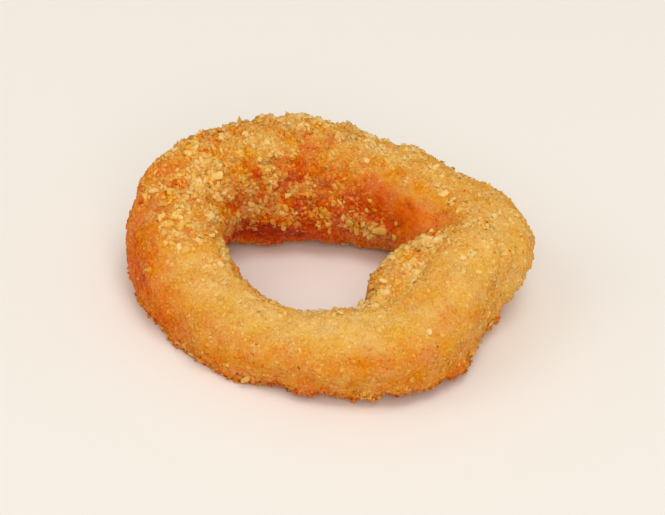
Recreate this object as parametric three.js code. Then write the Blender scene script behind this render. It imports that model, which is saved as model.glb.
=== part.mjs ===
// One breaded onion ring, lying flat: a closed loop of onion in batter and fried breadcrumbs.
// Millimetres, +Z up. The origin is on the table, under the middle of the ring; +X is its long way.
// A torus gives the closed surface. Each of its points is moved to the ring's own limb, lumps and crumbs,
// the whole is brought to size, and the underside is pressed flat where it rests.

import * as THREE from "three";
import { ImprovedNoise } from "three/addons/math/ImprovedNoise.js";

// Driving sizes: the whole ring, crumbs and all, and the limb, which is the loop's own thickness.
const LENGTH = 76;
const WIDTH = 66;
const HEIGHT = 25;
const LIMB_WIDTH = 19;
const LIMB_HEIGHT = 18.8;
const LIMB_SQUARENESS = 2.4;
const FLARE_DEGREES = 7;
const REST_DEPTH = 1.1;

// The loop's middle line, before its waves, is an ellipse. It is smaller than the whole ring by about one
// limb, and this says by how many limbs exactly.
const MIDDLE_INSET = { length: 1.12, width: 1.1 };
const MIDDLE_LENGTH = LENGTH - MIDDLE_INSET.length * LIMB_WIDTH;
const MIDDLE_WIDTH = WIDTH - MIDDLE_INSET.width * LIMB_WIDTH;

// Steps of the mesh round the loop and round the limb.
const STEPS_AROUND = 120;
const STEPS_ACROSS = 42;

// Angles are in degrees. Round the loop, 0 is at +X and 90 at +Y. Round the limb, 0 is the outer side,
// 90 the top, 180 the side towards the hole and -90 the underside.

// Waves that make the loop uneven. Each swells `order` times in one turn of the loop and is highest at `at`.
const PLAN_WAVES = [
  { order: 2, swell: 0.061, at: -53 },
  { order: 3, swell: 0.032, at: 38 },
  { order: 4, swell: 0.02, at: 9 },
  { order: 5, swell: 0.026, at: 5 },
];
const WIDTH_WAVES = [
  { order: 1, swell: 0.9, at: 26 },
  { order: 2, swell: 0.55, at: -20 },
];
const HEIGHT_WAVES = [
  { order: 1, swell: 2.3, at: 78 },
  { order: 2, swell: 1.2, at: -31 },
];
const FLARE_WAVES = [{ order: 1, swell: 5, at: 72 }];
const WARP_WAVES = [{ order: 2, swell: 0.5, at: -38 }];

// Soft folds of the batter: waves that run round the loop and round the limb together.
const FOLDS = [
  { around: 3, across: 1, height: 0.3, at: 20 },
  { around: 5, across: -2, height: 0.3, at: 75 },
  { around: 8, across: 1, height: 0.25, at: 140 },
  { around: 11, across: 2, height: 0.2, at: 10 },
  { around: 14, across: -3, height: 0.15, at: 250 },
];

// Lumps and dents of the batter: where each is, how far it spreads round the loop and round the limb, and
// how high it stands.
const LUMPS = [
  { name: "blunt corner", around: 10, across: 10, long: 13, wide: 60, height: 0.4 },
  { name: "flat side", around: -26, across: 8, long: 15, wide: 50, height: -3 },
  { name: "batter lip, right", around: -47, across: -38, long: 15, wide: 20, height: 2.2 },
  { name: "batter lip, front", around: -88, across: -42, long: 24, wide: 18, height: 0.5 },
  { name: "batter lip, left", around: -130, across: -40, long: 24, wide: 20, height: 1.7 },
  { name: "foot, left", around: 180, across: -28, long: 18, wide: 41, height: 3.2 },
  { name: "undercut, front right", around: -73, across: -46, long: 37, wide: 26, height: -1.6 },
  { name: "undercut, right", around: 13, across: -30, long: 26, wide: 34, height: -3.2 },
  { name: "groove over the lip", around: -66, across: -8, long: 34, wide: 16, height: -0.6 },
  { name: "drip", around: -79, across: -52, long: 4, wide: 16, height: 1.1 },
  { name: "left shoulder", around: 152, across: 60, long: 22, wide: 45, height: 0.8 },
  { name: "back swell", around: 104, across: 40, long: 18, wide: 40, height: 0.6 },
  { name: "inner bank", around: -34, across: 180, long: 29, wide: 38, height: 4 },
  { name: "slope over the bank", around: -45, across: 129, long: 35, wide: 28, height: -2.7 },
  { name: "thin right shoulder", around: 8, across: 138, long: 26, wide: 40, height: -2.6 },
  { name: "inner crest, front left", around: 217, across: 150, long: 24, wide: 36, height: -1.6 },
  { name: "hollow, back", around: 45, across: 175, long: 20, wide: 40, height: -1.7 },
  { name: "hollow, left", around: 171, across: 190, long: 20, wide: 70, height: -2.2 },
  { name: "undercut in the hole, right", around: 49, across: 234, long: 16, wide: 36, height: -2.9 },
  { name: "undercut in the hole, left", around: 133, across: 228, long: 16, wide: 40, height: -2.9 },
];

// Crags of clotted crumbs: rounded clots about `size` apart, `uneven` by that share, that stand `height` over
// the creases between them, with the creases that share `sunk` in the batter. Many plane waves make them.
const CRAGS = { size: 4.6, uneven: 0.3, height: 0.55, sunk: 0.4, waves: 60 };

// Places where the crags stand higher or lower than that, listed as the lumps are.
const CRAGGY_PLACES = [
  { name: "wall of the hole, left", around: 120, across: 170, long: 50, wide: 60, height: 0.6 },
  { name: "left shoulder", around: 150, across: 80, long: 30, wide: 50, height: 0.3 },
  { name: "front lip", around: -88, across: -42, long: 70, wide: 25, height: 0.5 },
  { name: "calm wall of the hole, right", around: 10, across: 150, long: 50, wide: 50, height: -0.4 },
];

// Single crumbs, which are as fine as the mesh can hold: the size of their grain and how far it strays.
const CRUMBS = { size: 2, depth: 0.5 };
const GRAIN_START = new THREE.Vector3(40, 70, 90);

const CRUST = { name: "fried_breadcrumb_crust", color: "#dc9342", roughness: 0.75 };

const radians = THREE.MathUtils.degToRad;
const degrees = THREE.MathUtils.radToDeg;
const NUDGE = radians(1);
const STIR = 12.9898;
const SPREAD = 43758.5453;
const cragWaves = Array.from({ length: CRAGS.waves }, (_, number) => cragWave(number));
const grain = new ImprovedNoise();

// The sum of a list of waves at an angle round the loop.
function sumOfWaves(waves, around) {
  const height = ({ order, swell, at }) => swell * Math.cos(order * (around - radians(at)));
  return waves.reduce((sum, wave) => sum + height(wave), 0);
}

// A point of the loop's middle line, in plan.
function middleLine(around) {
  const reach = 1 + sumOfWaves(PLAN_WAVES, around);
  return new THREE.Vector2(
    (MIDDLE_LENGTH / 2) * reach * Math.cos(around),
    (MIDDLE_WIDTH / 2) * reach * Math.sin(around),
  );
}

// The direction straight out of the loop, square to the middle line.
function outward(around) {
  const along = middleLine(around + NUDGE).sub(middleLine(around - NUDGE));
  return new THREE.Vector2(along.y, -along.x).normalize();
}

// A power that keeps the sign, which turns a circle into a squarer oval.
function signedPower(value, power) {
  return Math.sign(value) * Math.abs(value) ** power;
}

// A point of the smooth limb, before any fold, lump or crumb. It leans out of the loop by its flare.
function limbPoint(around, across) {
  const halfWidth = LIMB_WIDTH / 2 + sumOfWaves(WIDTH_WAVES, around);
  const halfHeight = LIMB_HEIGHT / 2 + sumOfWaves(HEIGHT_WAVES, around);
  const section = new THREE.Vector2(
    halfWidth * signedPower(Math.cos(across), 2 / LIMB_SQUARENESS),
    halfHeight * signedPower(Math.sin(across), 2 / LIMB_SQUARENESS),
  );
  const flare = radians(FLARE_DEGREES + sumOfWaves(FLARE_WAVES, around));
  section.rotateAround(new THREE.Vector2(), -flare);
  const plan = middleLine(around).addScaledVector(outward(around), section.x);
  const up = halfHeight + sumOfWaves(WARP_WAVES, around) + section.y;
  return new THREE.Vector3(plan.x, plan.y, up);
}

// The direction straight out of the smooth limb.
function limbNormal(around, across) {
  const alongLoop = limbPoint(around + NUDGE, across).sub(limbPoint(around - NUDGE, across));
  const alongLimb = limbPoint(around, across + NUDGE).sub(limbPoint(around, across - NUDGE));
  return alongLoop.cross(alongLimb).normalize();
}

// The height that the folds add at a point of the surface.
function foldHeight(around, across) {
  const height = (fold) =>
    fold.height * Math.cos(fold.around * around + fold.across * across - radians(fold.at));
  return FOLDS.reduce((sum, fold) => sum + height(fold), 0);
}

// How far an angle lies from another one, in degrees, the short way round.
function degreesFrom(angle, other) {
  return THREE.MathUtils.euclideanModulo(degrees(angle) - other + 180, 360) - 180;
}

// The height that a list of soft places, such as lumps and dents, adds up to at a point of the surface.
function placesHeight(places, around, across) {
  return places.reduce((sum, place) => {
    const along = degreesFrom(around, place.around) / place.long;
    const over = degreesFrom(across, place.across) / place.wide;
    return sum + place.height * Math.exp(-along * along - over * over);
  }, 0);
}

// A number from 0 to 1 that looks random, but is the same each time for the same `seed`.
function chance(seed) {
  const scattered = Math.sin(seed * STIR) * SPREAD;
  return scattered - Math.floor(scattered);
}

// One of the waves that the crags are made of: its direction and pace, as one vector, and its start.
function cragWave(number) {
  const [rise, turn, length, start] = [1, 2, 3, 4].map((draw) => chance(10 * number + draw));
  const clot = CRAGS.size * (1 + CRAGS.uneven * (2 * length - 1));
  const pace = new THREE.Vector3();
  pace.setFromSphericalCoords(Math.PI / clot, Math.acos(2 * rise - 1), 2 * Math.PI * turn);
  return { pace, start: 2 * Math.PI * start };
}

// The shape of the crags at a point in space, from the creases up: a crag that is 1 high.
function cragShape(point) {
  const sum = cragWaves.reduce((total, { pace, start }) => total + Math.cos(pace.dot(point) + start), 0);
  const swing = Math.abs(sum) / Math.sqrt(2 * CRAGS.waves);
  return Math.min(swing, 1) - CRAGS.sunk;
}

// The height that the crumbs add at a point in space.
function crumbHeight(point) {
  const { x, y, z } = point.clone().divideScalar(CRUMBS.size).add(GRAIN_START);
  return CRUMBS.depth * grain.noise(x, y, z);
}

// A point of the crust: the limb's point, moved straight out by all that stands there.
function crustPoint(around, across) {
  const point = limbPoint(around, across);
  const cragHeight = CRAGS.height + placesHeight(CRAGGY_PLACES, around, across);
  const height =
    foldHeight(around, across) +
    placesHeight(LUMPS, around, across) +
    cragHeight * cragShape(point) +
    crumbHeight(point);
  return point.addScaledVector(limbNormal(around, across), height);
}

// Moves a torus's points to the crust. A torus holds its seams twice, so each point is worked out from its
// step round the loop and round the limb, and both copies of a seam land in the same place.
function shapeRing(geometry) {
  const points = geometry.attributes.position;
  for (let i = 0; i < points.count; i++) {
    const stepAround = (i % (STEPS_AROUND + 1)) % STEPS_AROUND;
    const stepAcross = Math.floor(i / (STEPS_AROUND + 1)) % STEPS_ACROSS;
    const around = radians((360 * stepAround) / STEPS_AROUND);
    const across = radians((360 * stepAcross) / STEPS_ACROSS);
    points.setXYZ(i, ...crustPoint(around, across).toArray());
  }
}

// Brings the ring to its whole size, centred over the origin, with its lowest crumbs below the table.
function setToSize(geometry) {
  geometry.center();
  const size = geometry.boundingBox.getSize(new THREE.Vector3());
  geometry.scale(LENGTH / size.x, WIDTH / size.y, (HEIGHT + REST_DEPTH) / size.z);
  geometry.translate(0, 0, (HEIGHT - REST_DEPTH) / 2);
}

// Presses what is below the table flat, which leaves the small flat places that the ring rests on.
function pressFlat(geometry) {
  const points = geometry.attributes.position;
  for (let i = 0; i < points.count; i++) points.setZ(i, Math.max(0, points.getZ(i)));
}

function ringGeometry() {
  const geometry = new THREE.TorusGeometry(MIDDLE_LENGTH, LIMB_WIDTH, STEPS_ACROSS, STEPS_AROUND);
  shapeRing(geometry);
  setToSize(geometry);
  pressFlat(geometry);
  geometry.computeVertexNormals();
  return geometry;
}

const crust = new THREE.MeshStandardMaterial({ ...CRUST, metalness: 0 });

const onionRing = new THREE.Mesh(ringGeometry(), crust);
onionRing.name = "onion_ring";

const part = new THREE.Group();
part.add(onionRing);

export default part;
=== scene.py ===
# %% [markdown]
# # A breaded onion ring
# A slice of onion is dipped in batter, rolled in fine breadcrumbs and fried. What the eye meets is the
# crust: a golden coat with soft clots, deep orange where it is shaded and low, and thousands of crumbs
# that stand out of it. So the ring is built the way it is cooked. First comes the batter, as one closed
# skin, and then the crumbs are strewn on it, in seven kinds.
#
# The imported ring is loaded first. It says where everything goes, and its box gives the skin its size.

# %% Load the imported ring
import math

import bmesh
import bpy
import numpy as np
from mathutils import Matrix, Vector, noise


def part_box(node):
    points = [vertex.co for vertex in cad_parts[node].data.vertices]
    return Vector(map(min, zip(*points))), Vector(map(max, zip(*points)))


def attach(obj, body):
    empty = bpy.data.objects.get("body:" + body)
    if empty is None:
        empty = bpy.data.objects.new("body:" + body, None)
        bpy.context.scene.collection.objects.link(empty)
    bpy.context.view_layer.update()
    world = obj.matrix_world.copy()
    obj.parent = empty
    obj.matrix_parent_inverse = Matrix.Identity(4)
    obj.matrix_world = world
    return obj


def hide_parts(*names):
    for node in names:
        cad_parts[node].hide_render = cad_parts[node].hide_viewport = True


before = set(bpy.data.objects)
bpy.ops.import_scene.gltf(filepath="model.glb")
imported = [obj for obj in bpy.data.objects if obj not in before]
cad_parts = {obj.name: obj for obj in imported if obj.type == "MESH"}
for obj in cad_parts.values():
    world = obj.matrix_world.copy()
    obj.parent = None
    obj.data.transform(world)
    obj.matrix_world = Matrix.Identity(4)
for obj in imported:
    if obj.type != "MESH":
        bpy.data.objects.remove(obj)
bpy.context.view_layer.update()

MM = 0.001  # a millimetre, in Blender's metres
print("packed nodes:", sorted(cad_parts))

# %% [markdown]
# ## The camera
# The ring is seen from the front, from well above the table. A camera at this distance draws the near side
# of the ring only a little larger than the far side, and a long lens then fills the picture with it. It is
# rolled by a hair, as a hand-held camera is.

# %% Camera
AIM = Vector((0.6, 0, 10)) * MM  # close to the middle of the ring
DISTANCE = 534 * MM
ELEVATION = math.radians(37)
ROLL = math.radians(1.87)
LENS_MM = 157


def put_in_scene(name, data):
    """A new object in the scene, made from a mesh, a lamp or a camera."""
    made = bpy.data.objects.new(name, data)
    bpy.context.scene.collection.objects.link(made)
    return made


lens = bpy.data.cameras.new("camera")
lens.lens = LENS_MM
camera = put_in_scene("camera", lens)
camera.matrix_world = (
    Matrix.Translation(AIM)
    @ Matrix.Rotation(math.pi / 2 - ELEVATION, 4, "X")
    @ Matrix.Translation((0, 0, DISTANCE))
    @ Matrix.Rotation(ROLL, 4, "Z")
)
bpy.context.scene.camera = camera
print("camera at", [round(n, 3) for n in camera.matrix_world.translation])

# %% [markdown]
# ## The form of the ring
# No onion ring is a true torus. Its loop is a wavy oval, its limb swells and leans outwards, and batter has
# run down to a lip near the table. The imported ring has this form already, worked out from two angles: one
# round the loop, where 0 is at +X and 90 at +Y, and one round the limb, where 0 is the outer side, 90 the
# top, 180 the side towards the hole and -90 the underside. The same rules are repeated here, so the finer
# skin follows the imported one. Sizes are in millimetres.

# %% Sizes and waves of the limb
LENGTH = 76
WIDTH = 66
LIMB_WIDTH = 19
LIMB_HEIGHT = 18.8
LIMB_SQUARENESS = 2.4  # 2 gives an oval limb, and more a squarer one
FLARE_DEGREES = 7  # how far the limb leans out of the loop
REST_DEPTH = 1.1  # how much of the underside is pressed flat on the table

# The middle line is smaller than the ring by this many limb widths, along and across.
INSET_ALONG = 1.12
INSET_ACROSS = 1.1
MIDDLE_LENGTH = LENGTH - INSET_ALONG * LIMB_WIDTH
MIDDLE_WIDTH = WIDTH - INSET_ACROSS * LIMB_WIDTH

# Each wave: how often it swells in one turn of the loop, by how much, and where it is highest.
PLAN_WAVES = [(2, 0.061, -53), (3, 0.032, 38), (4, 0.02, 9), (5, 0.026, 5)]
WIDTH_WAVES = [(1, 0.9, 26), (2, 0.55, -20)]
HEIGHT_WAVES = [(1, 2.3, 78), (2, 1.2, -31)]
FLARE_WAVES = [(1, 5, 72)]
WARP_WAVES = [(2, 0.5, -38)]

# Each soft fold: its swells round the loop and round the limb, its height, and where it starts.
FOLDS = [(3, 1, 0.3, 20), (5, -2, 0.3, 75), (8, 1, 0.25, 140), (11, 2, 0.2, 10), (14, -3, 0.15, 250)]

# Each lump or dent: its two angles, how far it spreads in both, and how high it stands.
LUMPS = [
    (10, 10, 13, 60, 0.4),  # blunt corner
    (-26, 8, 15, 50, -3),  # flat side
    (-47, -38, 15, 20, 2.2),  # batter lip, right
    (-88, -42, 24, 18, 0.5),  # batter lip, front
    (-130, -40, 24, 20, 1.7),  # batter lip, left
    (180, -28, 18, 41, 3.2),  # foot, left
    (-73, -46, 37, 26, -1.6),  # undercut, front right
    (13, -30, 26, 34, -3.2),  # undercut, right
    (-66, -8, 34, 16, -0.6),  # groove over the lip
    (-79, -52, 4, 16, 1.1),  # drip
    (152, 60, 22, 45, 0.8),  # left shoulder
    (104, 40, 18, 40, 0.6),  # back swell
    (-34, 180, 29, 38, 4),  # inner bank
    (-45, 129, 35, 28, -2.7),  # slope over the bank
    (8, 138, 26, 40, -2.6),  # thin right shoulder
    (217, 150, 24, 36, -1.6),  # inner crest, front left
    (45, 175, 20, 40, -1.7),  # hollow, back
    (171, 190, 20, 70, -2.2),  # hollow, left
    (49, 234, 16, 36, -2.9),  # undercut in the hole, right
    (133, 228, 16, 40, -2.9),  # undercut in the hole, left
]
NUDGE = math.radians(1)  # the small step that tells which way the loop and the limb run


def sum_of_waves(waves, around):
    """The height that a list of waves has at an angle round the loop."""
    return sum(swell * np.cos(turns * (around - math.radians(at))) for turns, swell, at in waves)


def unit(vectors):
    """The same directions, each with a length of 1. What has no length stays zero."""
    lengths = np.linalg.norm(vectors, axis=-1, keepdims=True)
    return vectors / np.where(lengths > 0, lengths, 1)


def middle_line(around):
    """Points of the loop's middle line, in plan."""
    reach = 1 + sum_of_waves(PLAN_WAVES, around)
    along = MIDDLE_LENGTH / 2 * reach * np.cos(around)
    return np.stack([along, MIDDLE_WIDTH / 2 * reach * np.sin(around)], -1)


def outward(around):
    """The direction straight out of the loop, in plan."""
    along = middle_line(around + NUDGE) - middle_line(around - NUDGE)
    return unit(np.stack([along[..., 1], -along[..., 0]], -1))


def signed_power(value, power):
    """A power that keeps the sign, which turns a circle into a squarer oval."""
    return np.sign(value) * np.abs(value) ** power


def limb_points(around, across):
    """Points of the smooth limb, which leans out of the loop by its flare."""
    half_width = LIMB_WIDTH / 2 + sum_of_waves(WIDTH_WAVES, around)
    half_height = LIMB_HEIGHT / 2 + sum_of_waves(HEIGHT_WAVES, around)
    out = half_width * signed_power(np.cos(across), 2 / LIMB_SQUARENESS)
    up = half_height * signed_power(np.sin(across), 2 / LIMB_SQUARENESS)
    flare = np.radians(FLARE_DEGREES + sum_of_waves(FLARE_WAVES, around))
    leaning_out = out * np.cos(flare) + up * np.sin(flare)
    leaning_up = up * np.cos(flare) - out * np.sin(flare)
    plan = middle_line(around) + outward(around) * leaning_out[..., None]
    level = half_height + sum_of_waves(WARP_WAVES, around) + leaning_up
    return np.concatenate([plan, level[..., None]], -1)


def limb_normals(around, across):
    """The direction straight out of the smooth limb."""
    along_loop = limb_points(around + NUDGE, across) - limb_points(around - NUDGE, across)
    along_limb = limb_points(around, across + NUDGE) - limb_points(around, across - NUDGE)
    return unit(np.cross(along_loop, along_limb))


def sum_of_spots(spots, around, across):
    """The height that soft spots have at a point: each has two angles, two spreads and a height."""
    height = np.zeros_like(around)
    for at_around, at_across, long, wide, tall in spots:
        along = (np.degrees(around) - at_around + 180) % 360 - 180
        over = (np.degrees(across) - at_across + 180) % 360 - 180
        height += tall * np.exp(-((along / long) ** 2) - (over / wide) ** 2)
    return height


def fold_heights(around, across):
    """The height of the soft folds of the batter."""
    height = np.zeros_like(around)
    for turns, twists, tall, at in FOLDS:
        height += tall * np.cos(turns * around + twists * across - math.radians(at))
    return height


print("middle line:", round(MIDDLE_LENGTH, 1), "by", round(MIDDLE_WIDTH, 1), "mm")

# %% [markdown]
# ## Clots
# Crumbs and batter gather in rounded clots about 4.6 mm apart, with creases between them. Many plane waves
# that cross at all angles make such a field, and its absolute value folds it up at the creases. The waves
# are drawn by a sine rule that gives the same numbers in every program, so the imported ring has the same
# clots. They stand highest on the left wall of the hole and along the front lip.

# %% Clot waves
CLOT_MM = 4.6
CLOT_UNEVEN = 0.3  # how far their spacing strays from that
CLOT_HEIGHT = 0.55
CLOT_SUNK = 0.4  # the share of the height that lies below the smooth limb
CLOT_WAVES = 60

# Where the clots stand higher or lower, listed as the lumps are.
CLOTTED_PLACES = [
    (120, 170, 50, 60, 0.6),  # wall of the hole, left
    (150, 80, 30, 50, 0.3),  # left shoulder
    (-88, -42, 70, 25, 0.5),  # front lip
    (10, 150, 50, 50, -0.4),  # calm wall of the hole, right
]

# A sine that is stretched this far has digits that look random.
STIR = 12.9898
SPREAD = 43758.5453


def chance(seed):
    """A number from 0 to 1 that looks random, but is the same each time for the same seed."""
    scattered = math.sin(seed * STIR) * SPREAD
    return scattered - math.floor(scattered)


def clot_wave(number):
    """One wave's direction and pace as one vector, and its start. It has ten seeds, and uses four."""
    rise, turn, length, start = [chance(10 * number + draw) for draw in (1, 2, 3, 4)]
    pace = math.pi / (CLOT_MM * (1 + CLOT_UNEVEN * (2 * length - 1)))
    lean = math.acos(2 * rise - 1)
    heading = 2 * math.pi * turn
    direction = (math.sin(lean) * math.sin(heading), math.cos(lean), math.sin(lean) * math.cos(heading))
    return [pace * part for part in direction] + [2 * math.pi * start]


clot_waves = np.array([clot_wave(number) for number in range(CLOT_WAVES)])


def clot_heights(points, around, across):
    """The height of the clots at points in space, which have these angles."""
    total = np.cos(points @ clot_waves[:, :3].T + clot_waves[:, 3]).sum(-1)
    swing = np.abs(total) / math.sqrt(2 * CLOT_WAVES)
    tallest = CLOT_HEIGHT + sum_of_spots(CLOTTED_PLACES, around, across)
    return tallest * (np.minimum(swing, 1) - CLOT_SUNK)


print("clot waves:", len(clot_waves))

# %% [markdown]
# ## The batter, one closed skin
# A circle spun round the Z axis gives a torus with even rows of faces, which is easy to reshape: each
# point still tells both of its angles. Every point is then moved to where the rules above put it. The skin
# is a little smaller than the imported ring, because the crumbs on it make up the rest.
#
# Spinning leaves the faces in another order each time. So they are sorted by their corners, and whatever is
# worked out from them comes out the same in each run.

# %% Spin a torus
STEPS_AROUND = 480
STEPS_ACROSS = 200
SPIN_RADIUS = 2 * LIMB_WIDTH  # any size that leaves a hole will do, because every point is moved later


def rank(face):
    """A number for each face, made from the indices of its corners, which are counted from the lowest."""
    corners = [vert.index for vert in face.verts]
    lowest = corners.index(min(corners))
    second, third, fourth = (corners + corners)[lowest + 1:lowest + 4]
    return (fourth * len(bm.verts) + third) * len(bm.verts) + second


bm = bmesh.new()
circle = bmesh.ops.create_circle(
    bm,
    segments=STEPS_ACROSS,
    radius=LIMB_WIDTH / 2,
    matrix=Matrix.Translation((SPIN_RADIUS, 0, 0)) @ Matrix.Rotation(math.pi / 2, 4, "X"),
)
bmesh.ops.spin(
    bm,
    geom=circle["verts"] + bm.edges[:],
    cent=(0, 0, 0),
    axis=(0, 0, 1),
    angle=2 * math.pi,
    steps=STEPS_AROUND,
    use_merge=True,
)
bmesh.ops.recalc_face_normals(bm, faces=bm.faces)
bm.verts.index_update()
bm.faces.sort(key=rank)
batter_mesh = bpy.data.meshes.new("batter")
bm.to_mesh(batter_mesh)
bm.free()
print("torus:", len(batter_mesh.vertices), "points,", len(batter_mesh.polygons), "faces")

# %% Read its angles
def read(items, field, each=3, kind=float):
    """A field of all the points, corners or faces of a mesh, as rows of `each` numbers."""
    flat = np.zeros(each * len(items), dtype=kind)
    items.foreach_get(field, flat)
    return flat.reshape(-1, each)


torus = read(batter_mesh.vertices, "co")
around = np.arctan2(torus[:, 1], torus[:, 0])
across = np.arctan2(torus[:, 2], np.hypot(torus[:, 0], torus[:, 1]) - SPIN_RADIUS)
print("angles from", np.degrees(around).min().round(), "to", np.degrees(around).max().round(), "degrees")

# %% Move every point to the ring's own form
SKIN_INSET = 0.35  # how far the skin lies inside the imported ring

smooth = limb_points(around, across)
heights = fold_heights(around, across) + sum_of_spots(LUMPS, around, across)
heights += clot_heights(smooth, around, across)
skin = smooth + limb_normals(around, across) * heights[:, None]

packed_low, packed_high = [np.array(corner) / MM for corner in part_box("onion_ring")]
low = packed_low + (SKIN_INSET, SKIN_INSET, -REST_DEPTH)
high = packed_high - SKIN_INSET
skin = low + (skin - skin.min(0)) * (high - low) / np.ptp(skin, axis=0)
print("skin:", np.ptp(skin, axis=0).round(2), "mm")

# %% [markdown]
# Between the clots and the single crumbs lies a middle scale: grains that the batter has half swallowed. A
# bump in the material would leave the outline smooth, so they are moved points. Cells of a Voronoi pattern
# are round grains with sharp joints, so their distances make the relief, and a smooth noise makes it fade
# in and out. Each point moves along the surface's own normal.

# %% Swallowed grains
# Each size of grain: how wide it is, how high it stands, both in mm, and where its pattern starts.
GRAINS = [(2.6, 0.36, 13), (1.2, 0.24, 6)]
GRAIN_STEEPNESS = 1.6  # how fast a grain rises from its joints
GRAIN_SUNK = 0.5  # the share of a grain that lies below the skin

# The grains' strength: how wide its swells are in mm, its middle and how far it swings.
FADE_MM = 7
FADE_MIDDLE = 0.6
FADE_SWING = 0.6

# Where the crust is rougher, listed as the lumps are.
ROUGH_PLACES = [
    (150, 100, 36, 50, 1.2),  # left shoulder
    (115, 150, 40, 50, 1.2),  # wall of the hole, left
    (85, 110, 40, 30, 0.7),  # far limb, towards the hole
    (-36, 160, 26, 30, 0.8),  # inner bank
    (-80, -34, 60, 16, 0.6),  # front lip
]


def smooth_noise(points, size, start):
    """A soft noise from about -1 to 1, whose swells are `size` apart."""
    shift = Vector((start, 2 * start, 3 * start))
    return np.array([noise.noise(Vector(point) / size + shift) for point in points])


def cell_heights(points, size, start):
    """Round grains, `size` across: 1 in the middle of a grain and 0 at its joint with the next."""
    shift = Vector((start, 2 * start, 3 * start))
    heights = []
    for point in points:
        near, next_one = noise.voronoi(Vector(point) / size + shift)[0][:2]
        heights.append(min(1, (next_one - near) * GRAIN_STEEPNESS))
    return np.array(heights)


batter_mesh.vertices.foreach_set("co", skin.ravel())
batter_mesh.update()
normals = read(batter_mesh.vertices, "normal")
fade = FADE_MIDDLE + FADE_SWING * smooth_noise(skin, FADE_MM, start=11)
fade += sum_of_spots(ROUGH_PLACES, around, across)
for grain_size, grain_height, start in GRAINS:
    raised = cell_heights(skin, grain_size, start) - GRAIN_SUNK
    skin = skin + normals * (grain_height * fade * raised)[:, None]
skin[:, 2] = np.maximum(skin[:, 2], 0)
batter_mesh.vertices.foreach_set("co", (skin * MM).ravel())
batter_mesh.update()
batter_mesh.shade_smooth()
batter = put_in_scene("batter", batter_mesh)
print("batter skin:", np.ptp(skin, axis=0).round(2), "mm")

# %% [markdown]
# ## How brown each place is, with painted light and shade
# A fryer browns unevenly, and here the same number also paints light and shade. The crest of the limb
# is painted a paler gold, as where light falls, and the lower front darker. The walls turn orange, and the
# inside of the hole and the lip near the table go deepest, partly from browning and partly as painted
# shade. The deep left corner of the hole is painted shade, the left wall is darker as a painted shadow, and
# a few paler spots in the hole are painted light. A pattern in the material could not know these places.
# So one number for each point says how brown and how shaded it is, from 0, pale, to 1, deep, and the
# materials turn it into colour. Soft spots set by the two angles give the main places, and noise at three
# scales adds patches, which are stronger where the crust is rough.

# %% Browning
BROWN_MIDDLE = 0.43  # the brown of a plain place

# Where the crust is browner or paler, listed as the lumps are. Some spots are browning, and some are
# painted light and shade.
BROWN_AND_SHADE_SPOTS = [
    (-90, 210, 400, 46, 0.42),  # wall of the hole and underside: browning and painted shade
    (46, 158, 24, 32, 0.2),  # bare orange batter in the hole, right
    (67, 165, 16, 24, 0.12),  # its deepest place
    (60, 205, 24, 16, -0.1),  # paler wall below it: painted light
    (36, 205, 30, 40, -0.07),  # paler corner of the hole, right: painted light
    (132, 222, 40, 34, 0.26),  # deep corner of the hole, left: painted shade
    (108, 178, 26, 26, 0.06),  # wall of the hole, left
    (115, 85, 24, 40, 0.05),  # far limb, left
    (116, 153, 24, 14, 0.3),  # orange band under the far crest
    (72, 95, 14, 20, -0.18),  # pale far crest: painted light
    (44, 92, 14, 16, -0.1),  # pale far crest, right: painted light
    (-4, 152, 18, 30, 0.14),  # root of the inner bank
    (-13, 142, 9, 13, 0.04),  # its deepest place
    (-36, 182, 26, 34, -0.16),  # inner bank
    (-32, 146, 10, 12, 0.06),  # slope over the bank
    (-52, 95, 12, 16, 0.14),  # orange patch by the bank
    (0, -46, 400, 26, 0.21),  # lip near the table: browning and painted shade
    (-68, -38, 40, 12, 0.04),  # edge of the front lip
    (-85, -10, 60, 22, 0.07),  # lower front: painted shade
    (-80, 24, 26, 20, 0.08),  # orange patches on the front
    (-112, 20, 10, 16, 0.06),  # and farther left
    (160, 85, 32, 50, 0.1),  # left shoulder
    (180, 10, 40, 40, 0.24),  # left wall: painted shadow
    (-174, 8, 24, 26, 0.1),  # left wall, front: painted shadow
    (-95, 88, 60, 34, -0.22),  # pale front crest: painted light
    (-122, 112, 26, 28, -0.06),  # pale near crest, left: painted light
    (-5, 70, 34, 34, -0.15),  # pale right crest: painted light
    (-8, 0, 28, 30, -0.16),  # right end
]

# Each kind of patch: its size in mm, how strong it is, and where its noise starts.
PATCHES = [(9, 0.09, 3), (3.2, 0.14, 8), (1.4, 0.11, 5)]
CALM_PATCHES = 0.7  # how strong they are on calm crust
ROUGH_PATCHES = 0.6  # how much stronger they are where the crust is rough


def brown_and_shade_at(points, around, across):
    """How brown the crust is at points of the skin, with its painted light and shade, from 0 to 1."""
    brown_and_shade = BROWN_MIDDLE + sum_of_spots(BROWN_AND_SHADE_SPOTS, around, across)
    patchiness = CALM_PATCHES + ROUGH_PATCHES * sum_of_spots(ROUGH_PLACES, around, across)
    for size, strength, start in PATCHES:
        brown_and_shade += strength * patchiness * smooth_noise(points, size, start)
    return np.clip(brown_and_shade, 0, 1)


brown_and_shade = brown_and_shade_at(skin, around, across)
print("brown from", brown_and_shade.min().round(2), "to", brown_and_shade.max().round(2), "mean", brown_and_shade.mean().round(2))

# %% [markdown]
# ## Crumbs
# A breadcrumb is a small uneven chip, and the larger ones are clumps. Sixteen chips of each build are made
# from spheres with few faces, whose points are pushed about: 8 faces for a sandy grain, 20 for a crumb and
# 40 for a clump of two crumbs. So few are enough, because there are thousands of copies. Each copy is
# turned, stretched and half sunk in the batter. All the copies of one kind are joined in one mesh,
# straight from arrays, because thousands of objects would be slow.

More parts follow.
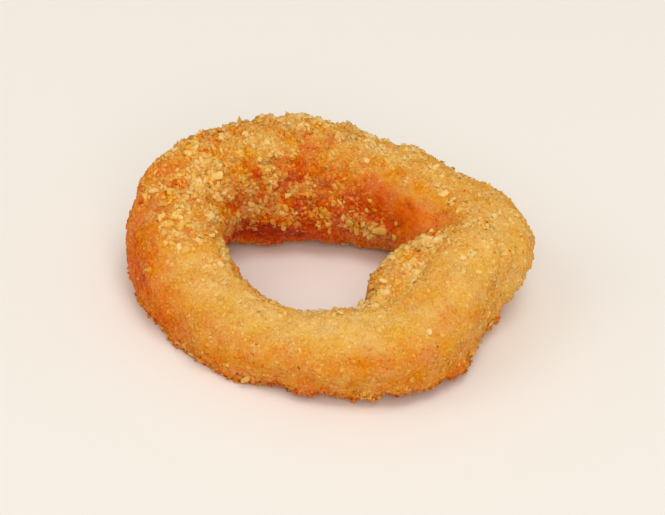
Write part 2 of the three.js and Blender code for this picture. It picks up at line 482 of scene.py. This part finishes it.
# %% Chips
SEED = 6417
CHIPS_EACH = 16
CHIP_RADIUS = 0.5
CLUMP_REACH = 0.25  # how far both halves of a clump may lie from its middle
CLUMP_RADII = (0.26, 0.4)  # the smallest and the largest half of a clump
rng = np.random.default_rng(SEED)


def sand_grain(shape):
    """A grain of eight faces."""
    bmesh.ops.create_uvsphere(shape, u_segments=4, v_segments=2, radius=CHIP_RADIUS)


def crumb(shape):
    """A crumb of twenty faces."""
    bmesh.ops.create_icosphere(shape, subdivisions=1, radius=CHIP_RADIUS)


def clump(shape):
    """Two crumbs that stuck together."""
    for _ in range(2):
        place = Matrix.Translation(rng.uniform(-CLUMP_REACH, CLUMP_REACH, 3))
        radius = rng.uniform(*CLUMP_RADII)
        bmesh.ops.create_icosphere(shape, subdivisions=1, radius=radius, matrix=place)


def chips(build, roughness):
    """Some uneven chips, as arrays of points about 1 across, and the faces that they all share."""
    made = []
    for _ in range(CHIPS_EACH):
        shape = bmesh.new()
        build(shape)
        shape.verts.index_update()
        points = np.array([vert.co for vert in shape.verts])
        faces = np.array([[vert.index for vert in face.verts] for face in shape.faces])
        shape.free()
        made.append(points + roughness * rng.uniform(-0.5, 0.5, points.shape))
    return np.array(made), faces


grains = chips(sand_grain, roughness=0.35)
crumbs = chips(crumb, roughness=0.55)
clumps = chips(clump, roughness=0.38)
print("faces:", len(grains[1]), "a grain,", len(crumbs[1]), "a crumb,", len(clumps[1]), "a clump")

# %% [markdown]
# The faces of the skin are the places where crumbs can land. A particle system could scatter them, but its
# copies would all have one colour, and here each crumb takes on the brown of its place, with its painted
# light and shade. A crumb picks its face by chance, and a large or crumb-rich face is picked more often.
# Since the faces are in order, the same seed always strews the same crumbs.

# %% Places for crumbs
corners = read(batter_mesh.loops, "vertex_index", 1, int).reshape(-1, 4)
lowest_first = (corners.argmin(1)[:, None] + np.arange(4)) % 4
corners = np.take_along_axis(corners, lowest_first, 1)
face_areas = read(batter_mesh.polygons, "area", 1)[:, 0]
face_normals = read(batter_mesh.polygons, "normal")
face_around = around[corners[:, 0]]
face_across = across[corners[:, 0]]
face_points = skin[corners].mean(1)
print("skin area:", round(face_areas.sum() / MM**2), "mm2")

# %% [markdown]
# Each crumb lands at a chance point of its face. It is turned at random, tilted a little from the way that
# points straight out of the batter, and stretched, because no chip of bread is round. Thin crumbs tilt less
# than thick ones, so they lie flat.

# %% How a crumb lands, tilts and stretches
TILT = 0.7  # how far a crumb tilts that is as thick as it is long

# How far a chip is stretched along, across and through, before its thickness counts.
LEAST_STRETCH = (0.8, 0.55, 0.8)
MOST_STRETCH = (1.4, 1.05, 1.2)


def landing_places(count, richness):
    """The faces that `count` crumbs pick, with `richness` as each face's weight, and a point on each."""
    chances = face_areas * np.maximum(richness, 0)
    picked = rng.choice(len(chances), count, p=chances / chances.sum())
    mix = rng.dirichlet(np.ones(4), count)
    return picked, (skin[corners[picked]] * mix[:, :, None]).sum(1)


def tilted_axes(up, tilt):
    """Three axes for each crumb: two at a random turn, and its own up, which is tilted at random."""
    tilted = unit(up + rng.normal(0, tilt, up.shape))
    side = unit(np.cross(tilted, rng.normal(0, 1, up.shape)))
    return np.stack([side, np.cross(tilted, side), tilted], 1)


def stretches(size, thick):
    """How far each crumb reaches along its three axes, in mm."""
    least = np.array(LEAST_STRETCH) * (1, 1, thick)
    most = np.array(MOST_STRETCH) * (1, 1, thick)
    return rng.uniform(least, most, (len(size), 3)) * size[:, None]


usual_tilt = round(math.degrees(math.atan(TILT / 2)))
print("a crumb half as thick as it is long tilts by about", usual_tilt, "degrees each way")

# %% [markdown]
# A crumb is browner at its root, where the batter holds it, and paler at its tip. This is partly oil, and
# partly painted shade low on the crumb, which warms the shadow between pale crumbs that would be olive
# otherwise. A crumb under a millimetre is browned more evenly. Crumbs and clumps are shaded smooth, and
# their normals lean towards the skin's own, because bread lets light through and so has no dark rim. The
# small grains keep their facets, so they glitter like sand.

# %% How a crumb is browned and shaded
ROOT_BROWN_AND_SHADE = 0.44  # how much browner the root of a large crumb is than its tip, partly as painted shade
ROOT_MIDDLE = 0.3  # where on a crumb its own brown is, from -0.5 at the root to 0.5 at the tip
LARGE_MM = 1  # the size from which a root is browned in full
SOFT_EDGES = 0.5  # how far the normals of a crumb lean towards the skin's


def store(mesh, name, values):
    """Stores a number for each point of a mesh."""
    attribute = mesh.attributes.new(name, "FLOAT", "POINT")
    attribute.data.foreach_set("value", np.asarray(values, dtype=np.float32))


def brown_and_shade_at_root(crumb_brown_and_shade, size, rise):
    """How brown the points of each crumb are, with painted shade low on it, for their `rise`: -0.5 at the
    root and 0.5 at the tip.
    """
    root_brown_and_shade = ROOT_BROWN_AND_SHADE * np.minimum(size / LARGE_MM, 1)
    return np.clip(crumb_brown_and_shade[:, None] - root_brown_and_shade[:, None] * (rise - ROOT_MIDDLE), 0, 1)


def soften(mesh, up):
    """Shades a mesh smooth, with the normal of each point leaning towards its row of `up`. On a crumb that
    the table pressed flat the two may cancel out, and a normal of zero then leaves the point its own."""
    mesh.shade_smooth()
    leaning = (1 - SOFT_EDGES) * read(mesh.vertices, "normal") + SOFT_EDGES * up
    mesh.normals_split_custom_set_from_vertices(unit(leaning))


root_and_tip = brown_and_shade_at_root(np.array([0.4]), np.array([LARGE_MM]), np.array([-0.5, 0.5]))
print("a large crumb of brown 0.4 has this at its root and its tip:", root_and_tip.round(2))

# %% [markdown]
# Everything about one kind of crumb comes together in one function. It lifts each chip until only its sunk
# part is below the skin, presses flat what would reach through the table, and joins the chips in one mesh.

# %% How to strew one kind of crumb
SIZE_SPREAD = (1.4, 3)  # a beta distribution with many small crumbs and a few large ones


def strew(name, count, sizes, chip_set, richness, tones, sink, thick):
    """One mesh of `count` crumbs. `sizes` are the smallest and the largest in mm, `chip_set` the chips and
    their faces, and `richness` weighs the places. `tones` are how brown a crumb is itself, how far it
    follows its place's brown and painted light and shade, and how much crumbs differ. `sink` is how deep a
    crumb sits in the batter, and `thick` is how thick it is for its length."""
    shapes, faces = chip_set
    own, follow, spread = tones
    picked, middles = landing_places(count, richness)
    up = face_normals[picked]
    size = sizes[0] + (sizes[1] - sizes[0]) * rng.beta(*SIZE_SPREAD, count)
    axes = tilted_axes(up, TILT * thick)
    stretch = stretches(size, thick)
    chip = shapes[rng.integers(0, len(shapes), count)]

    points = np.einsum("npk,nkc->npc", chip * stretch[:, None, :], axes)
    rise = np.einsum("npc,nc->np", points, up) / stretch[:, 2, None]
    rise = np.clip(rise, -CHIP_RADIUS, CHIP_RADIUS)
    lift = (CHIP_RADIUS - sink) * stretch[:, 2]
    points += (middles + up * lift[:, None])[:, None, :]
    points[..., 2] = np.maximum(points[..., 2], 0)

    per_chip = points.shape[1]
    first = np.arange(count)[:, None, None] * per_chip
    mesh = bpy.data.meshes.new(name)
    mesh.from_pydata((points * MM).reshape(-1, 3), [], (faces[None] + first).reshape(-1, 3))
    crumb_brown_and_shade = own + follow * brown_and_shade[corners[picked, 0]] + rng.normal(0, spread, count)
    store(mesh, "brown_and_shade", brown_and_shade_at_root(crumb_brown_and_shade, size, rise).ravel())
    mesh.materials.append(toasted_breadcrumb)
    if chip_set is not grains:
        soften(mesh, np.repeat(up, per_chip, 0))
    piece = put_in_scene(name, mesh)
    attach(piece, "root")
    print(name, ":", count, "crumbs,", len(mesh.polygons), "faces, up to", size.max().round(1), "mm")


print("the mean crumb is this far up its range:", round(SIZE_SPREAD[0] / sum(SIZE_SPREAD), 2))

# %% [markdown]
# ## Materials
# The real things are batter and bread, both starch cooked in oil: matt, with a thin gloss where the oil
# stays. Paint or a picture could give the colour, but a Principled shader also gives the gloss and lets
# light scatter a little way under the batter, which makes it glow. The colour comes from how brown the
# place is, with its painted light and shade, and a fine noise so that no two grains match.

# %% Colour and node helpers
def colour(hex_code):
    """A colour that is written as sRGB, turned to the linear values that Blender's shaders take."""
    parts = [int(hex_code[i:i + 2], 16) / 255 for i in (1, 3, 5)]
    linear = [part / 12.92 if part <= 0.04045 else ((part + 0.055) / 1.055) ** 2.4 for part in parts]
    return (*linear, 1)


def add(tree, kind, settings=None, inputs=None, feeds=None):
    """Adds a node: its own `settings`, the values of its `inputs`, and what `feeds` its sockets."""
    node = tree.nodes.new(kind)
    for name, value in (settings or {}).items():
        setattr(node, name, value)
    for socket, value in (inputs or {}).items():
        node.inputs[socket].default_value = value
    for socket, source in (feeds or {}).items():
        tree.links.new(source, node.inputs[socket])
    return node


def per_metre(size_mm):
    """A pattern's scale for swells that are `size_mm` apart."""
    return 1 / (size_mm * MM)


print("middle grey, as a linear value:", round(colour("#808080")[0], 3))

# %% [markdown]
# Both finishes are one recipe with other numbers. The brown number of the place, which also holds its
# painted light and shade, is stirred a little by a fine grain, and a ramp turns it to a colour, from pale
# gold over amber to a deep red brown. A slower noise, 4 mm wide, makes some places richer in colour and
# others duller.

# %% The fried crust, as a material
# Each stop of the ramp: how brown the place is, and its colour.
CRUST_STOPS = [
    (0, "#f5d086"),
    (0.28, "#ecb95a"),
    (0.5, "#e49b38"),
    (0.72, "#e2731e"),
    (0.88, "#d5510f"),
    (1, "#b03608"),
]
RICHNESS_MM = 4
DULLEST = 0.89  # the saturation of the dullest places
RICHER = 0.22  # how much more the richest places have
GLOW_MM = 0.5  # how far red light scatters in the batter
GLOW_COLOURS = (1, 0.6, 0.3)  # and the shares of that for red, green and blue


def fried_crust(name, roughness, glow, grain_mm, grain_mix, bump_mm):
    """Starch fried in oil. `glow` is how much light scatters under its surface, `grain_mm` how wide its
    grain is, `grain_mix` how far that changes the brown, and `bump_mm` how high it stands."""
    material = bpy.data.materials.new(name)
    material.use_nodes = True
    tree = material.node_tree
    tree.nodes.clear()
    place = add(tree, "ShaderNodeTexCoord").outputs["Object"]
    brown_and_shade_here = add(tree, "ShaderNodeAttribute", {"attribute_name": "brown_and_shade"}).outputs["Fac"]
    grain = add(
        tree,
        "ShaderNodeTexNoise",
        inputs={"Scale": per_metre(grain_mm), "Detail": 3, "Roughness": 0.6},
        feeds={"Vector": place},
    ).outputs["Fac"]
    centred = add(tree, "ShaderNodeMath", {"operation": "SUBTRACT"}, {1: 0.5}, {0: grain}).outputs[0]
    stirred = add(
        tree, "ShaderNodeMath", {"operation": "MULTIPLY_ADD"}, {1: grain_mix}, {0: centred, 2: brown_and_shade_here}
    ).outputs[0]

    # The ramp's new stops start in its middle, and then all of them are moved to their places.
    ramp = add(tree, "ShaderNodeValToRGB", feeds={"Fac": stirred})
    while len(ramp.color_ramp.elements) < len(CRUST_STOPS):
        ramp.color_ramp.elements.new(0.5)
    for element, (position, hex_code) in zip(ramp.color_ramp.elements, CRUST_STOPS):
        element.position = position
        element.color = colour(hex_code)

    slow = add(
        tree,
        "ShaderNodeTexNoise",
        inputs={"Scale": per_metre(RICHNESS_MM), "Detail": 2},
        feeds={"Vector": place},
    ).outputs["Fac"]
    richness = add(
        tree, "ShaderNodeMath", {"operation": "MULTIPLY_ADD"}, {1: RICHER, 2: DULLEST}, {0: slow}
    ).outputs[0]
    tint = add(
        tree,
        "ShaderNodeHueSaturation",
        feeds={"Saturation": richness, "Color": ramp.outputs["Color"]},
    )
    bump = add(
        tree,
        "ShaderNodeBump",
        inputs={"Strength": 1, "Distance": bump_mm * MM},
        feeds={"Height": grain},
    )
    shader = add(
        tree,
        "ShaderNodeBsdfPrincipled",
        inputs={
            "Roughness": roughness,
            "IOR": 1.45,
            "Specular IOR Level": 0.12,
            "Subsurface Weight": glow,
            "Subsurface Radius": GLOW_COLOURS,
            "Subsurface Scale": GLOW_MM * MM,
        },
        feeds={"Base Color": tint.outputs["Color"], "Normal": bump.outputs["Normal"]},
    )
    add(tree, "ShaderNodeOutputMaterial", feeds={"Surface": shader.outputs["BSDF"]})
    return material


# Fried batter is dense and oily: it glows a little, and its half-millimetre grain catches the light.
fried_batter = fried_crust(
    "fried_batter", roughness=0.5, glow=0.4, grain_mm=0.5, grain_mix=0.3, bump_mm=0.2
)
# Toasted breadcrumb is dry and airy, so it is rougher. Its leaning normals already soften it, and a glow
# would wash its colour out.
toasted_breadcrumb = fried_crust(
    "toasted_breadcrumb", roughness=0.6, glow=0, grain_mm=0.35, grain_mix=0.1, bump_mm=0.05
)
batter_mesh.materials.append(fried_batter)
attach(batter, "root")
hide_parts("onion_ring")
print("materials:", fried_batter.name, "and", toasted_breadcrumb.name)

# %% [markdown]
# ## Where the crumbs lie
# Fine grains are nearly everywhere. Crumbs stand thick where the crust is rough. Pale bread gathers in
# drifts, on the wall of the hole, on the left of the crest and in a patch on the right, and the drifts
# break up in clusters. The low lip is ragged, because crumbs slid down to it. Each rule weighs the faces.

# %% Weights for the faces
# Drifts, lip crumbs and bare spots are listed as the lumps are, with a weight in place of a height.
PALE_DRIFTS = [
    (128, 170, 28, 26, 0.6),  # wall of the hole, left
    (110, 185, 22, 22, 0.35),  # and lower on it
    (165, 105, 26, 36, 0.9),  # left shoulder
    (-36, 168, 26, 26, 1.4),  # inner bank
    (60, 190, 14, 16, 0.7),  # wall of the hole, right
    (85, 70, 40, 30, 0.6),  # far crest
    (-95, 132, 60, 14, 1.4),  # near edge of the hole
    (-10, 100, 20, 30, 0.2),  # right crest
    (-128, 104, 22, 20, 0.1),  # near crest, left
]
LIP_CRUMBS = [(-75, -44, 60, 12, 1), (-150, -44, 40, 14, 0.7)]  # front and left
BARE_SPOTS = [(42, 160, 26, 34, -0.95), (-80, 60, 30, 16, -0.2)]  # hole, right, and near crest
THIN_MM = 4.5
THIN_SWING = 0.5  # how far the cover of fine grains thins out and thickens
THINNEST = 0.05  # the least cover that counts for pale crumbs
ROUGH_LEAST = 0.5  # the weight of golden crumbs where the crust is calm

# Clusters: how far apart they are in mm, their middle weight, how far it swings, and what is left between.
CLUSTER_MM = 3.4
CLUSTER_MIDDLE = 0.8
CLUSTER_SWING = 3.6
BETWEEN_CLUSTERS = 0.06
STRAY = 0.002  # the weight of pale crumbs outside the drifts
IN_A_DRIFT = 0.3  # the weight from which a face counts as part of a drift

even = 1 + THIN_SWING * smooth_noise(face_points, THIN_MM, start=21)
even += sum_of_spots(BARE_SPOTS, face_around, face_across)
rough = even * (ROUGH_LEAST + sum_of_spots(ROUGH_PLACES, face_around, face_across))
lipped = even * sum_of_spots(LIP_CRUMBS, face_around, face_across)
clusters = CLUSTER_MIDDLE + CLUSTER_SWING * smooth_noise(face_points, CLUSTER_MM, start=31)
clusters = np.maximum(BETWEEN_CLUSTERS, clusters)
drifts = STRAY + sum_of_spots(PALE_DRIFTS, face_around, face_across)
drifted = drifts * np.maximum(even, THINNEST) * clusters
print("share of the faces in drifts:", (drifted > IN_A_DRIFT).mean().round(2))

# %% [markdown]
# The batter that shows between pale crumbs is a little deeper in colour than the open crust: partly because
# more oil stays there, and partly as painted shade between the crumbs. So the drifts are added to the
# brown and shade number before it is stored on the batter.

# %% Browner batter under the drifts
GAP_BROWN_AND_SHADE = 0.12
gaps = GAP_BROWN_AND_SHADE * np.clip(sum_of_spots(PALE_DRIFTS, around, across), 0, 1)
store(batter_mesh, "brown_and_shade", np.clip(brown_and_shade + gaps, 0, 1))
print("browner gaps: up to", gaps.max().round(2))

# %% [markdown]
# Fine grains in two tones cover nearly everything, like sand. Golden crumbs make the rough places coarser.
# Pale crumbs and coarse clumps fill the drifts, and follow the brown of their place less, so the drifts
# stay pale. Thick clumps hang from the lip, and a few well browned ones lie anywhere.

# %% Seven kinds of crumbs
strew("crumbs_sandy", 23000, (0.35, 0.9), grains, even, tones=(0.03, 1, 0.08), sink=0.4, thick=0.4)
strew("crumbs_blond", 23000, (0.35, 0.9), grains, even, tones=(-0.03, 1, 0.08), sink=0.4, thick=0.44)
strew("crumbs_golden", 9500, (0.5, 1.3), crumbs, rough, tones=(-0.02, 1, 0.09), sink=0.55, thick=0.55)
strew("crumbs_pale", 6000, (0.5, 1.5), crumbs, drifted, tones=(-0.02, 0.85, 0.13), sink=0.56, thick=0.6)
strew("crumbs_coarse", 1800, (1, 2.7), clumps, drifted, tones=(-0.12, 0.7, 0.13), sink=0.55, thick=0.62)
strew("crumbs_lip", 1000, (0.6, 1.8), clumps, lipped, tones=(-0.02, 1, 0.08), sink=0.4, thick=0.75)
strew("crumbs_browned", 80, (0.4, 1.0), clumps, even, tones=(0.4, 1, 0.1), sink=0.5, thick=0.6)

# %% [markdown]
# ## Floor and light
# The floor is a board with matt, slightly warm white paint. It is far wider than the view.

# %% Floor
FLOOR_REACH = 2
floor_shape = bmesh.new()
bmesh.ops.create_grid(floor_shape, x_segments=1, y_segments=1, size=FLOOR_REACH)
floor_mesh = bpy.data.meshes.new("floor")
floor_shape.to_mesh(floor_mesh)
floor_shape.free()
painted_board = bpy.data.materials.new("painted_board")
painted_board.use_nodes = True
paint = painted_board.node_tree.nodes["Principled BSDF"]
paint.inputs["Base Color"].default_value = colour("#f7f4ef")
paint.inputs["Roughness"].default_value = 0.9
floor_mesh.materials.append(painted_board)
floor = put_in_scene("floor", floor_mesh)
print("floor:", np.ptp(read(floor_mesh.vertices, "co"), axis=0)[:2], "m, in", painted_board.name)

# %% [markdown]
# The light is soft, as in a studio: a key lamp above and a little in front, a wide and more distant front
# lamp that fills the walls, a weaker lamp from the left for the bank in the hole, and a bright, slightly
# warm room all round. One small lamp alone would leave the hole black, and here it glows orange.

# %% Lamps and room
LAMP_COLOUR = "#fffdfa"
ROOM_COLOUR = "#fff7ec"
ROOM_STRENGTH = 0.48


def lamp(name, place, size, watts):
    """A square soft lamp that looks at the ring, with its place and its size in metres."""
    light = bpy.data.lights.new(name, "AREA")
    light.shape = "SQUARE"
    light.size = size
    light.energy = watts
    light.color = colour(LAMP_COLOUR)[:3]
    lit = put_in_scene(name, light)
    lit.location = place
    lit.rotation_euler = (AIM - Vector(place)).to_track_quat("-Z", "Y").to_euler()
    print(name, ":", watts, "W from", round((AIM - Vector(place)).length, 2), "m")


lamp("key_lamp", place=(0.25, -0.35, 1.55), size=0.7, watts=7.3)
lamp("front_lamp", place=(0.2, -1.55, 1.25), size=1.2, watts=11.5)
lamp("fill_lamp", place=(-1, -0.35, 1), size=0.9, watts=3)
room = bpy.data.worlds.new("room")
room.use_nodes = True
background = room.node_tree.nodes["Background"]
background.inputs["Color"].default_value = colour(ROOM_COLOUR)
background.inputs["Strength"].default_value = ROOM_STRENGTH
bpy.context.scene.world = room
bpy.context.scene.view_settings.view_transform = "Standard"
